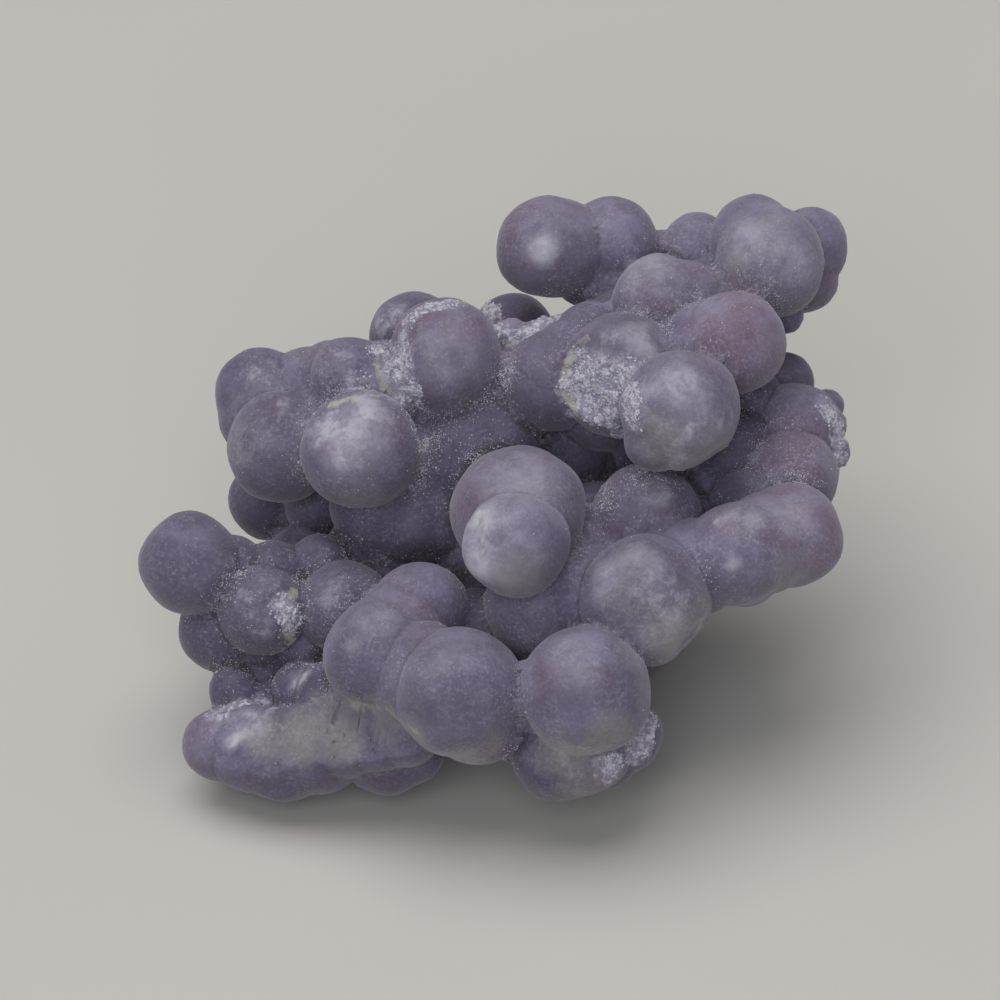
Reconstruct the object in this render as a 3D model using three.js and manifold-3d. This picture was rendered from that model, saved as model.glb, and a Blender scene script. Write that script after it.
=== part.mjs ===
// Grape agate: a botryoidal cluster of chalcedony, its round lobes grown together into one stone.
// Millimetres, +Z up. The origin is the middle of the bounding box's underside, on the surface the stone rests on.
import * as THREE from "three";
import { mergeVertices } from "three/addons/utils/BufferGeometryUtils.js";
import Module from "manifold-3d";

const stoneColour = 0x8a7590;
const stoneRoughness = 0.62;

// The lobes that face the viewer are laid out on a plane that leans back as the line of sight does.
const viewElevation = THREE.MathUtils.degToRad(35);
const viewRoll = THREE.MathUtils.degToRad(3);
const viewDistance = 320;
const groundBelowCentre = 15.1;

// A lobe is never quite round: its radius swells and sinks by this share, over about this wavelength.
const unevenShare = 0.035;
const unevenWavelength = 3.6;

// Side of the blocks that cut broken faces and the flat foot: more than the stone's own length.
const cutterSide = 60;

const facetsOfLargeLobe = 3;
const facetsOfLobe = 2;
const largeLobeRadius = 2.9;

// The joined stone has slivers along every crease. Short, flat edges are closed up until this many triangles are left.
const wantedTriangles = 9800;
const shareClosedPerPass = 0.2;
const leastNormalAgreement = 0.35;
const longEdgeCost = 0.002;
const onGround = 1e-4;

// Lobes seen from the front: [across, up, near, radius]. Near is how far in front of the middle plane a lobe stands.
const seenLobes = {
  rearKnob: [
    [2.5, 13.3, -3.0, 2.75],
    [3.2, 13.3, -3.2, 2.6],
    [5.9, 13.5, -4.0, 2.5],
    [4.7, 12.2, -4.2, 2.1],
    [6.4, 11.4, -4.0, 2.1],
    [8.0, 12.0, -6.0, 2.2],
  ],
  crown: [
    [14.2, 12.5, -1.0, 2.95],
    [13.3, 13.7, -2.0, 2.35],
    [16.3, 13.3, -5.0, 2.1],
    [15.9, 11.7, -5.0, 1.9],
    [10.4, 13.2, -4.2, 2.0],
    [15.0, 9.7, -3.0, 1.0],
    [12.2, 11.0, -3.0, 2.4],
  ],
  rightShoulder: [
    [8.4, 10.3, -0.5, 2.7],
    [12.3, 8.2, 2.0, 2.8],
    [6.5, 6.6, 1.6, 3.35],
    [9.5, 4.75, 5.0, 3.2],
    [8.2, 3.2, 5.0, 1.75],
    [5.5, 4.9, -1.2, 2.45],
    [10.7, 7.9, 1.2, 2.6],
    [9.7, 10.4, -0.8, 2.35],
    [10.8, 9.3, -0.6, 2.2],
  ],
  saddle: [
    [2.6, 6.3, 0.0, 2.65],
    [4.8, 8.6, -0.6, 1.95],
    [0.5, 8.75, -0.8, 0.85],
    [1.2, 8.4, -0.7, 0.9],
    [1.9, 8.55, -0.9, 0.85],
    [2.5, 8.8, -1.1, 0.8],
    [3.1, 9.05, -1.2, 0.75],
    [3.9, 7.4, -0.2, 2.2],
  ],
  leftShoulder: [
    [-2.9, 7.5, 0.0, 3.1],
    [-4.6, 8.7, -6.0, 2.35],
    [0.7, 8.9, -8.0, 2.1],
    [-7.8, 6.15, -1.3, 2.45],
    [-10.2, 6.0, -3.0, 2.1],
    [-12.5, 5.6, -3.5, 2.5],
    [-11.5, 2.8, -1.4, 2.95],
    [-7.3, 2.6, 1.0, 3.2],
    [-6.1, 6.3, -1.6, 2.2],
    [-8.9, 6.3, -2.4, 2.1],
    [-12.3, 4.4, -3.1, 2.5],
  ],
  hollow: [
    [-1.0, 2.6, -1.2, 3.4],
    [-6.0, -0.3, -1.8, 3.05],
    [-3.2, -0.6, -1.8, 2.8],
    [-12.1, 0.0, -7.0, 2.25],
    [4.8, 2.2, -8.0, 2.8],
    [-2.6, 2.3, -1.6, 3.0],
    [-10.2, -0.3, -6.5, 2.2],
    [-4.6, -0.7, -1.6, 2.8],
  ],
  middleKnob: [
    [1.05, -0.7, 4.0, 3.65],
    [0.85, -2.3, 7.0, 2.82],
  ],
  rightFlank: [
    [7.7, -1.1, 2.0, 3.0],
    [12.55, -2.8, 5.0, 2.85],
    [15.3, -1.85, 3.5, 2.72],
    [12.9, -4.0, 4.0, 1.7],
    [15.4, 1.2, 0.5, 2.5],
    [15.6, 3.8, -1.2, 2.4],
    [14.9, 6.1, -4.0, 1.7],
    [12.0, 2.7, -0.8, 2.6],
    [10.8, 0.9, -0.5, 1.9],
    [17.3, 3.9, -1.0, 1.0],
    [17.6, 2.5, -0.6, 0.9],
    [17.2, 5.0, -1.8, 0.9],
    [13.9, -2.3, 4.3, 2.65],
    [10.3, -3.5, 4.4, 2.6],
    [13.2, -0.4, 0.8, 2.4],
    [12.6, 5.0, -1.8, 2.4],
  ],
  frontRight: [
    [7.6, -5.3, 6.0, 3.55],
    [2.5, -5.7, 3.1, 3.4],
    [4.5, -5.3, 3.7, 3.2],
  ],
  leftFlank: [
    [-16.3, -3.3, 0.5, 2.75],
    [-14.6, -6.8, -1.0, 2.3],
    [-12.5, -5.8, 0.8, 2.4],
    [-11.9, -4.0, -0.6, 1.9],
    [-9.5, -3.3, -0.6, 1.6],
    [-12.6, -7.6, -1.2, 2.0],
    [-13.8, -10.1, 0.0, 1.6],
    [-12.1, -10.5, 0.0, 1.5],
    [-8.1, -5.7, 0.5, 2.6],
    [-14.3, -3.7, -0.4, 2.0],
    [-10.0, -7.6, -0.8, 2.1],
    [-12.6, -9.5, -0.8, 1.8],
  ],
  frontRow: [
    [-4.2, -5.9, 2.7, 2.7],
    [-6.35, -8.2, 4.6, 3.05],
    [-2.1, -10.15, 7.0, 3.5],
    [-1.2, -11.4, 6.2, 2.7],
    [4.4, -10.1, 8.0, 3.5],
    [3.0, -13.3, 6.0, 2.6],
    [6.7, -12.4, 5.4, 1.95],
    [5.5, -13.6, 5.2, 1.7],
    [4.3, -12.9, 6.4, 2.7],
    [-5.2, -7.1, 3.75, 2.75],
    [-4.2, -9.2, 5.5, 2.95],
  ],
  frontSlab: [
    [-10.5, -10.0, 1.0, 1.6],
    [-14.7, -12.85, 1.0, 1.95],
    [-13.0, -13.1, 1.8, 2.3],
    [-11.3, -13.35, 2.4, 2.5],
    [-9.6, -13.0, 3.0, 2.5],
    [-8.1, -12.3, 4.0, 2.4],
    [-6.6, -12.0, 4.6, 2.35],
    [-5.0, -11.8, 5.2, 2.2],
    [-6.0, -13.5, 2.9, 2.2],
    [-4.6, -13.3, 3.4, 1.75],
    [-13.5, -11.5, 1.2, 1.2],
    [-8.8, -10.4, 2.0, 2.0],
  ],
};

// Lobes of the back, the underside and the middle, which no front view shows: [x, y, z, radius], y measured away
// from the viewer and z up from the ground.
const hiddenLobes = {
  heart: [
    [-3.0, 12.4, 11.2, 4.1],
    [3.5, 13.6, 12.0, 3.9],
    [-8.5, 13.2, 10.2, 3.2],
    [9.5, 12.0, 13.5, 3.8],
    [0.0, 8.8, 7.4, 4.2],
    [5.5, 7.5, 9.0, 4.2],
    [-7.0, 7.4, 6.4, 3.4],
    [-1.5, 3.5, 6.5, 3.2],
    [4.0, 2.0, 6.5, 3.0],
    [11.5, 15.5, 18.5, 3.2],
    [7.2, 15.5, 17.6, 3.0],
    [0.8, 18.0, 13.6, 2.9],
    [-1.6, 9.7, 4.6, 2.2],
    [-4.8, 15.3, 12.4, 2.4],
    [2.3, 5.7, 10.9, 2.4],
    [6.5, 15.4, 11.6, 2.4],
    [9.2, 13.2, 17.0, 2.0],
  ],
  foot: [
    [-4.5, 7.6, 1.6, 3.7],
    [0.5, 7.4, 1.4, 3.8],
    [4.4, 9.8, 1.8, 3.7],
    [6.2, 12.2, 2.2, 3.7],
    [1.5, 12.8, 1.6, 4.0],
    [-3.5, 12.4, 1.8, 3.8],
    [-7.5, 6.0, 2.4, 3.0],
    [1.5, 10.2, 3.0, 4.2],
    [-2.5, 9.8, 3.6, 4.2],
  ],
  back: [
    [-11.5, 15.5, 13.5, 2.7],
    [-7.5, 16.5, 12.0, 3.0],
    [-3.0, 17.5, 13.5, 2.9],
    [-6.0, 16.0, 7.5, 3.0],
    [-0.5, 17.5, 7.5, 3.1],
    [4.5, 17.5, 8.5, 2.9],
    [9.0, 17.0, 11.5, 3.0],
    [6.5, 18.5, 14.0, 2.8],
    [12.5, 15.5, 13.5, 2.6],
    [10.0, 19.5, 16.5, 2.6],
    [13.5, 18.0, 17.5, 2.5],
    [9.5, 13.0, 7.5, 3.0],
    [-10.5, 10.5, 7.0, 2.6],
    [2.6, 18.3, 12.2, 2.3],
  ],
  side: [
    [8.6, 9.4, 9.0, 2.9],
    [8.6, 5.8, 9.2, 2.5],
    [11.6, 11.4, 11.8, 2.7],
    [5.4, 5.2, 6.2, 2.3],
    [1.2, 3.0, 5.0, 2.5],
    [-3.8, 4.4, 3.6, 2.5],
  ],
};

// Broken faces: seen lobes, by group and places in its list, lose what lies past a plane. The plane's normal is
// [across, up, near], and depth is how far below the round surface of the first place's lobe it lies.
const brokenFaces = [
  { group: "rightShoulder", places: [2], normal: [-0.6, -0.08, 0.8], depth: 1.0 },
  { group: "rightShoulder", places: [3], normal: [0.45, -0.85, 0.25], depth: 0.35 },
  { group: "rightShoulder", places: [3], normal: [-0.5, -0.62, 0.6], depth: 0.2 },
  { group: "rightFlank", places: [5], normal: [0.95, -0.2, 0.2], depth: 0.35 },
  { group: "frontRight", places: [0], normal: [0.76, -0.62, 0.2], depth: 0.5 },
  { group: "frontSlab", places: [4, 1, 2, 3, 5, 6, 7], normal: [-0.34, 0.24, 0.91], depth: 0.8 },
  { group: "frontSlab", places: [3, 4, 8], normal: [-0.1, -0.62, 0.78], depth: 0.3 },
  { group: "frontSlab", places: [2], normal: [-0.6, 0.45, 0.66], depth: 0.35 },
  { group: "leftShoulder", places: [0], normal: [-0.84, 0.12, 0.53], depth: 0.4 },
  { group: "leftShoulder", places: [7], normal: [-0.45, 0.55, 0.7], depth: 0.42 },
  { group: "middleKnob", places: [1], normal: [-0.75, 0.1, 0.65], depth: 0.32 },
  { group: "leftFlank", places: [2], normal: [0.35, 0.1, 0.93], depth: 0.2 },
];

// Turns a direction on the leaning plane (across, up, near) into the part's own axes.
function turnFromView(across, up, near) {
  const levelAcross = across * Math.cos(viewRoll) + up * Math.sin(viewRoll);
  const levelUp = up * Math.cos(viewRoll) - across * Math.sin(viewRoll);
  return new THREE.Vector3(
    levelAcross,
    levelUp * Math.sin(viewElevation) - near * Math.cos(viewElevation),
    levelUp * Math.cos(viewElevation) + near * Math.sin(viewElevation),
  );
}

// A nearer lobe looks larger and further out than it is, so it shrinks towards the line of sight by its nearness.
function placeSeenLobe([across, up, near, radius]) {
  const shrink = 1 - near / viewDistance;
  const centre = turnFromView(across * shrink, up * shrink, near);
  centre.y += groundBelowCentre * Math.sin(viewElevation);
  centre.z += groundBelowCentre * Math.cos(viewElevation);
  return { centre, radius: radius * shrink };
}

// Three crossed waves, between -1 and 1, that vary from place to place in the stone.
function unevenness(point) {
  const wave = (2 * Math.PI) / unevenWavelength;
  return (
    (Math.sin(point.x * wave + 0.7 * point.y) +
      Math.sin(point.y * wave + 0.6 * point.z + 2) +
      Math.sin(point.z * wave + 0.5 * point.x + 4)) /
    3
  );
}

function lobeGeometry({ centre, radius }) {
  const facets = radius > largeLobeRadius ? facetsOfLargeLobe : facetsOfLobe;
  const geometry = new THREE.IcosahedronGeometry(radius, facets);
  const positions = geometry.getAttribute("position");
  const point = new THREE.Vector3();
  for (let i = 0; i < positions.count; i++) {
    point.fromBufferAttribute(positions, i);
    const swell = 1 + unevenShare * unevenness(point.clone().add(centre));
    point.multiplyScalar(swell).add(centre);
    positions.setXYZ(i, point.x, point.y, point.z);
  }
  return geometry;
}

// A block whose near face lies on the broken plane, big enough to take the whole cap off the lobe.
function capBlock({ centre, radius }, { normal, depth }) {
  const outward = turnFromView(...normal).normalize();
  const block = new THREE.BoxGeometry(cutterSide, cutterSide, cutterSide);
  block.translate(0, 0, cutterSide / 2 + radius - depth);
  block.applyQuaternion(new THREE.Quaternion().setFromUnitVectors(new THREE.Vector3(0, 0, 1), outward));
  block.translate(centre.x, centre.y, centre.z);
  return block;
}

const wasm = await Module();
wasm.setup();

function toSolid(geometry) {
  const bare = geometry.clone();
  bare.deleteAttribute("normal");
  bare.deleteAttribute("uv");
  const merged = mergeVertices(bare);
  return new wasm.Manifold(
    new wasm.Mesh({
      numProp: 3,
      vertProperties: new Float32Array(merged.getAttribute("position").array),
      triVerts: new Uint32Array(merged.index.array),
    }),
  );
}

// Sum of squared distances to a set of planes, kept as the ten numbers of its quadratic form.
function addPlane(form, normal, offset, weight) {
  const plane = [normal.x, normal.y, normal.z, offset];
  let slot = 0;
  for (let row = 0; row < 4; row++) {
    for (let column = row; column < 4; column++) {
      form[slot] += weight * plane[row] * plane[column] * (row === column ? 1 : 2);
      slot += 1;
    }
  }
}

function distanceForm(form, { x, y, z }) {
  return (
    form[0] * x * x + form[1] * x * y + form[2] * x * z + form[3] * x + form[4] * y * y +
    form[5] * y * z + form[6] * y + form[7] * z * z + form[8] * z + form[9]
  );
}

function faceNormal(a, b, c) {
  return b.clone().sub(a).cross(c.clone().sub(a));
}

// Closes up edges of a closed mesh, the ones that change its shape least first, and keeps it closed.
function closeShortEdges(points, faces) {
  const facesAt = points.map(() => new Set());
  const forms = points.map(() => new Float64Array(10));
  faces.forEach((face, index) => {
    const [a, b, c] = face.map((corner) => points[corner]);
    const normal = faceNormal(a, b, c);
    const area = normal.length() / 2;
    if (area > 0) normal.normalize();
    for (const corner of face) {
      facesAt[corner].add(index);
      addPlane(forms[corner], normal, -normal.dot(a), area);
    }
  });

  const neighboursOf = (vertex) => {
    const found = new Set([...facesAt[vertex]].flatMap((index) => faces[index]));
    found.delete(vertex);
    return found;
  };

  // Where the two ends would meet: at either end or halfway, but an end on the ground stays there.
  const bestMeeting = (a, b) => {
    const aDown = Math.abs(points[a].z) < onGround;
    const bDown = Math.abs(points[b].z) < onGround;
    const half = points[a].clone().lerp(points[b], 0.5);
    let places = [points[a], points[b], half];
    if (aDown !== bDown) places = [aDown ? points[a] : points[b]];
    let best = { cost: Infinity };
    for (const place of places) {
      const cost =
        distanceForm(forms[a], place) +
        distanceForm(forms[b], place) +
        longEdgeCost * points[a].distanceToSquared(points[b]);
      if (cost < best.cost) best = { cost, place: place.clone() };
    }
    return best;
  };

  const turnsOver = (vertex, other, place) =>
    [...facesAt[vertex]].some((index) => {
      const face = faces[index];
      if (face.includes(other)) return false;
      const before = faceNormal(...face.map((corner) => points[corner]));
      const after = faceNormal(...face.map((corner) => (corner === vertex ? place : points[corner])));
      return after.dot(before) <= leastNormalAgreement * after.length() * before.length();
    });

  let count = faces.length;
  let closed = true;
  while (count > wantedTriangles && closed) {
    closed = false;
    const edges = [];
    facesAt.forEach((around, a) => {
      if (around.size === 0) return;
      for (const b of neighboursOf(a)) if (a < b) edges.push({ a, b, ...bestMeeting(a, b) });
    });
    edges.sort((one, two) => one.cost - two.cost);
    const touched = new Set();
    for (const { a, b, place } of edges.slice(0, Math.ceil(edges.length * shareClosedPerPass))) {
      if (count <= wantedTriangles) break;
      if (touched.has(a) || touched.has(b)) continue;
      const beside = neighboursOf(b);
      const shared = [...neighboursOf(a)].filter((vertex) => beside.has(vertex));
      if (shared.length !== 2 || turnsOver(a, b, place) || turnsOver(b, a, place)) continue;
      for (const index of [...facesAt[b]]) {
        const face = faces[index];
        if (face.includes(a)) {
          for (const corner of face) facesAt[corner].delete(index);
          faces[index] = null;
          count -= 1;
        } else {
          faces[index] = face.map((corner) => (corner === b ? a : corner));
          facesAt[a].add(index);
        }
      }
      facesAt[b].clear();
      points[a] = place;
      forms[b].forEach((value, slot) => (forms[a][slot] += value));
      touched.add(a);
      for (const vertex of neighboursOf(a)) touched.add(vertex);
      closed = true;
    }
  }
  return faces.filter((face) => face !== null);
}

function toGeometry(solid) {
  const mesh = solid.getMesh();
  const points = [];
  for (let i = 0; i < mesh.vertProperties.length; i += mesh.numProp) {
    points.push(new THREE.Vector3().fromArray(mesh.vertProperties, i));
  }
  const corners = Array.from(mesh.triVerts);
  const faces = [];
  for (let i = 0; i < corners.length; i += 3) faces.push(corners.slice(i, i + 3));
  const kept = closeShortEdges(points, faces);
  const positions = kept.flat().flatMap((corner) => points[corner].toArray());
  const geometry = new THREE.BufferGeometry();
  geometry.setAttribute("position", new THREE.Float32BufferAttribute(positions, 3));
  return mergeVertices(geometry);
}

function seenSolids() {
  return Object.entries(seenLobes).flatMap(([group, lobes]) =>
    lobes.map((row, place) => {
      const faces = brokenFaces.filter((face) => face.group === group && face.places.includes(place));
      return faces.reduce(
        (solid, face) => solid.subtract(toSolid(capBlock(placeSeenLobe(lobes[face.places[0]]), face))),
        toSolid(lobeGeometry(placeSeenLobe(row))),
      );
    }),
  );
}

function hiddenSolids() {
  return Object.values(hiddenLobes)
    .flat()
    .map(([x, y, z, radius]) => toSolid(lobeGeometry({ centre: new THREE.Vector3(x, y, z), radius })));
}

// The foot's lobes reach below the ground, where the stone broke from its rock in one flat face.
function groundBlock() {
  const block = new THREE.BoxGeometry(cutterSide, cutterSide, cutterSide);
  block.translate(0, 0, -cutterSide / 2);
  return block;
}

const wholeStone = [...seenSolids(), ...hiddenSolids()]
  .reduce((stone, lobe) => stone.add(lobe))
  .subtract(toSolid(groundBlock()));

const stoneGeometry = toGeometry(wholeStone);
stoneGeometry.computeBoundingBox();
const middle = stoneGeometry.boundingBox.getCenter(new THREE.Vector3());
stoneGeometry.translate(-middle.x, -middle.y, 0);
stoneGeometry.computeVertexNormals();

const stone = new THREE.Mesh(
  stoneGeometry,
  new THREE.MeshStandardMaterial({ color: stoneColour, roughness: stoneRoughness, metalness: 0 }),
);
stone.name = "grape_agate";

const part = new THREE.Group();
part.add(stone);

export default part;
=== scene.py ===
import math
import bpy
import numpy as np
from mathutils import Matrix, Vector


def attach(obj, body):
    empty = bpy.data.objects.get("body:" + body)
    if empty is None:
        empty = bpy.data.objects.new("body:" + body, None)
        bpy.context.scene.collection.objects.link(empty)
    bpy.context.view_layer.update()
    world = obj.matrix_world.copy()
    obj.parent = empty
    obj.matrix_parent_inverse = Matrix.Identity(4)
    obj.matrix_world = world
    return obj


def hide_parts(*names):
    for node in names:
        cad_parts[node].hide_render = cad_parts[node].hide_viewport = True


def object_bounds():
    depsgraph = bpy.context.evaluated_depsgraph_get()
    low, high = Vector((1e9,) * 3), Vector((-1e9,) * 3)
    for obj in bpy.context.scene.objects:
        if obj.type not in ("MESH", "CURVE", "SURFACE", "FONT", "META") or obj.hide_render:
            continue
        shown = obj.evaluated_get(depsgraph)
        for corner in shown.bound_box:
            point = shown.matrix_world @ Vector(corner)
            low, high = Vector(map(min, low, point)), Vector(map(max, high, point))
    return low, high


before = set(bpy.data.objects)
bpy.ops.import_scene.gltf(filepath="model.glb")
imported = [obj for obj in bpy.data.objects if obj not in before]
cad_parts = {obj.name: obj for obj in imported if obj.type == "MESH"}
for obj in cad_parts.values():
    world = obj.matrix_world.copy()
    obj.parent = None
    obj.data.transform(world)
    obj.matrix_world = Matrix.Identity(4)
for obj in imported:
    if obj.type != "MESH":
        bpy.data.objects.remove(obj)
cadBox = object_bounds()
mm = 0.001  # lengths below are in millimetres, and meshes are in metres

# The photograph's viewing direction. Across, up and near are the photograph's own axes.
view = {
    "elevation": math.radians(35),
    "roll": math.radians(3),
    "distance": 320.0,
    "frameWidth": 1000 / 19,  # the width seen at the focus distance
    "groundBelowCentre": 15.1,
    "boxMiddle": (0.0479, 7.6872),  # the solid's box is centred on the origin, and the lobes below are not
}

# Lobes that the photograph shows: [across, up, near, radius].
seenLobes = {
    "rearKnob": [
        [2.5, 13.3, -3.0, 2.75], [3.2, 13.3, -3.2, 2.6], [5.9, 13.5, -4.0, 2.5], [4.7, 12.2, -4.2, 2.1],
        [6.4, 11.4, -4.0, 2.1], [8.0, 12.0, -6.0, 2.2],
    ],
    "crown": [
        [14.2, 12.5, -1.0, 2.95], [13.3, 13.7, -2.0, 2.35], [16.3, 13.3, -5.0, 2.1],
        [15.9, 11.7, -5.0, 1.9], [10.4, 13.2, -4.2, 2.0], [15.0, 9.7, -3.0, 1.0],
        [12.2, 11.0, -3.0, 2.4],
    ],
    "rightShoulder": [
        [8.4, 10.3, -0.5, 2.7], [12.3, 8.2, 2.0, 2.8], [6.5, 6.6, 1.6, 3.35], [9.5, 4.75, 5.0, 3.2],
        [8.2, 3.2, 5.0, 1.75], [5.5, 4.9, -1.2, 2.45], [10.7, 7.9, 1.2, 2.6], [9.7, 10.4, -0.8, 2.35],
        [10.8, 9.3, -0.6, 2.2],
    ],
    "saddle": [
        [2.6, 6.3, 0.0, 2.65], [4.8, 8.6, -0.6, 1.95], [0.5, 8.75, -0.8, 0.85], [1.2, 8.4, -0.7, 0.9],
        [1.9, 8.55, -0.9, 0.85], [2.5, 8.8, -1.1, 0.8], [3.1, 9.05, -1.2, 0.75], [3.9, 7.4, -0.2, 2.2],
    ],
    "leftShoulder": [
        [-2.9, 7.5, 0.0, 3.1], [-4.6, 8.7, -6.0, 2.35], [0.7, 8.9, -8.0, 2.1], [-7.8, 6.15, -1.3, 2.45],
        [-10.2, 6.0, -3.0, 2.1], [-12.5, 5.6, -3.5, 2.5], [-11.5, 2.8, -1.4, 2.95],
        [-7.3, 2.6, 1.0, 3.2], [-6.1, 6.3, -1.6, 2.2], [-8.9, 6.3, -2.4, 2.1], [-12.3, 4.4, -3.1, 2.5],
    ],
    "hollow": [
        [-1.0, 2.6, -1.2, 3.4], [-6.0, -0.3, -1.8, 3.05], [-3.2, -0.6, -1.8, 2.8],
        [-12.1, 0.0, -7.0, 2.25], [4.8, 2.2, -8.0, 2.8], [-2.6, 2.3, -1.6, 3.0],
        [-10.2, -0.3, -6.5, 2.2], [-4.6, -0.7, -1.6, 2.8],
    ],
    "middleKnob": [[1.05, -0.7, 4.0, 3.65], [0.85, -2.3, 7.0, 2.82]],
    "rightFlank": [
        [7.7, -1.1, 2.0, 3.0], [12.55, -2.8, 5.0, 2.85], [15.3, -1.85, 3.5, 2.72],
        [12.9, -4.0, 4.0, 1.7], [15.4, 1.2, 0.5, 2.5], [15.6, 3.8, -1.2, 2.4], [14.9, 6.1, -4.0, 1.7],
        [12.0, 2.7, -0.8, 2.6], [10.8, 0.9, -0.5, 1.9], [17.3, 3.9, -1.0, 1.0], [17.6, 2.5, -0.6, 0.9],
        [17.2, 5.0, -1.8, 0.9], [13.9, -2.3, 4.3, 2.65], [10.3, -3.5, 4.4, 2.6], [13.2, -0.4, 0.8, 2.4],
        [12.6, 5.0, -1.8, 2.4],
    ],
    "frontRight": [[7.6, -5.3, 6.0, 3.55], [2.5, -5.7, 3.1, 3.4], [4.5, -5.3, 3.7, 3.2]],
    "leftFlank": [
        [-16.3, -3.3, 0.5, 2.75], [-14.6, -6.8, -1.0, 2.3], [-12.5, -5.8, 0.8, 2.4],
        [-11.9, -4.0, -0.6, 1.9], [-9.5, -3.3, -0.6, 1.6], [-12.6, -7.6, -1.2, 2.0],
        [-13.8, -10.1, 0.0, 1.6], [-12.1, -10.5, 0.0, 1.5], [-8.1, -5.7, 0.5, 2.6],
        [-14.3, -3.7, -0.4, 2.0], [-10.0, -7.6, -0.8, 2.1], [-12.6, -9.5, -0.8, 1.8],
    ],
    "frontRow": [
        [-4.2, -5.9, 2.7, 2.7], [-6.35, -8.2, 4.6, 3.05], [-2.1, -10.15, 7.0, 3.5],
        [-1.2, -11.4, 6.2, 2.7], [4.4, -10.1, 8.0, 3.5], [3.0, -13.3, 6.0, 2.6],
        [6.7, -12.4, 5.4, 1.95], [5.5, -13.6, 5.2, 1.7], [4.3, -12.9, 6.4, 2.7],
        [-5.2, -7.1, 3.75, 2.75], [-4.2, -9.2, 5.5, 2.95],
    ],
    "frontSlab": [
        [-10.5, -10.0, 1.0, 1.6], [-14.7, -12.85, 1.0, 1.95], [-13.0, -13.1, 1.8, 2.3],
        [-11.3, -13.35, 2.4, 2.5], [-9.6, -13.0, 3.0, 2.5], [-8.1, -12.3, 4.0, 2.4],
        [-6.6, -12.0, 4.6, 2.35], [-5.0, -11.8, 5.2, 2.2], [-6.0, -13.5, 2.9, 2.2],
        [-4.6, -13.3, 3.4, 1.75], [-13.5, -11.5, 1.2, 1.2], [-8.8, -10.4, 2.0, 2.0],
    ],
}

# Lobes of the middle, the underside, the back and the side: [x, y, z, radius].
hiddenLobes = {
    "heart": [
        [-3.0, 12.4, 11.2, 4.1], [3.5, 13.6, 12.0, 3.9], [-8.5, 13.2, 10.2, 3.2],
        [9.5, 12.0, 13.5, 3.8], [0.0, 8.8, 7.4, 4.2], [5.5, 7.5, 9.0, 4.2], [-7.0, 7.4, 6.4, 3.4],
        [-1.5, 3.5, 6.5, 3.2], [4.0, 2.0, 6.5, 3.0], [11.5, 15.5, 18.5, 3.2], [7.2, 15.5, 17.6, 3.0],
        [0.8, 18.0, 13.6, 2.9], [-1.6, 9.7, 4.6, 2.2], [-4.8, 15.3, 12.4, 2.4], [2.3, 5.7, 10.9, 2.4],
        [6.5, 15.4, 11.6, 2.4], [9.2, 13.2, 17.0, 2.0],
    ],
    "foot": [
        [-4.5, 7.6, 1.6, 3.7], [0.5, 7.4, 1.4, 3.8], [4.4, 9.8, 1.8, 3.7], [6.2, 12.2, 2.2, 3.7],
        [1.5, 12.8, 1.6, 4.0], [-3.5, 12.4, 1.8, 3.8], [-7.5, 6.0, 2.4, 3.0], [1.5, 10.2, 3.0, 4.2],
        [-2.5, 9.8, 3.6, 4.2],
    ],
    "back": [
        [-11.5, 15.5, 13.5, 2.7], [-7.5, 16.5, 12.0, 3.0], [-3.0, 17.5, 13.5, 2.9],
        [-6.0, 16.0, 7.5, 3.0], [-0.5, 17.5, 7.5, 3.1], [4.5, 17.5, 8.5, 2.9], [9.0, 17.0, 11.5, 3.0],
        [6.5, 18.5, 14.0, 2.8], [12.5, 15.5, 13.5, 2.6], [10.0, 19.5, 16.5, 2.6],
        [13.5, 18.0, 17.5, 2.5], [9.5, 13.0, 7.5, 3.0], [-10.5, 10.5, 7.0, 2.6], [2.6, 18.3, 12.2, 2.3],
    ],
    "side": [
        [8.6, 9.4, 9.0, 2.9], [8.6, 5.8, 9.2, 2.5], [11.6, 11.4, 11.8, 2.7], [5.4, 5.2, 6.2, 2.3],
        [1.2, 3.0, 5.0, 2.5], [-3.8, 4.4, 3.6, 2.5],
    ],
}

# Seen lobes lose what lies past a plane: (group, places, normal (across, up, near), depth of the cut).
# The depth is measured from the first place's lobe, and the same plane cuts the others.
brokenFaces = [
    ("rightShoulder", [2], (-0.6, -0.08, 0.8), 1.0),
    ("rightShoulder", [3], (0.45, -0.85, 0.25), 0.35),
    ("rightShoulder", [3], (-0.5, -0.62, 0.6), 0.2),
    ("rightFlank", [5], (0.95, -0.2, 0.2), 0.35),
    ("frontRight", [0], (0.76, -0.62, 0.2), 0.5),
    ("frontSlab", [4, 1, 2, 3, 5, 6, 7], (-0.34, 0.24, 0.91), 0.8),
    ("frontSlab", [3, 4, 8], (-0.1, -0.62, 0.78), 0.3),
    ("frontSlab", [2], (-0.6, 0.45, 0.66), 0.35),
    ("leftShoulder", [0], (-0.84, 0.12, 0.53), 0.4),
    ("leftShoulder", [7], (-0.45, 0.55, 0.7), 0.42),
    ("middleKnob", [1], (-0.75, 0.1, 0.65), 0.32),
    ("leftFlank", [2], (0.35, 0.1, 0.93), 0.2),
]

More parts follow.
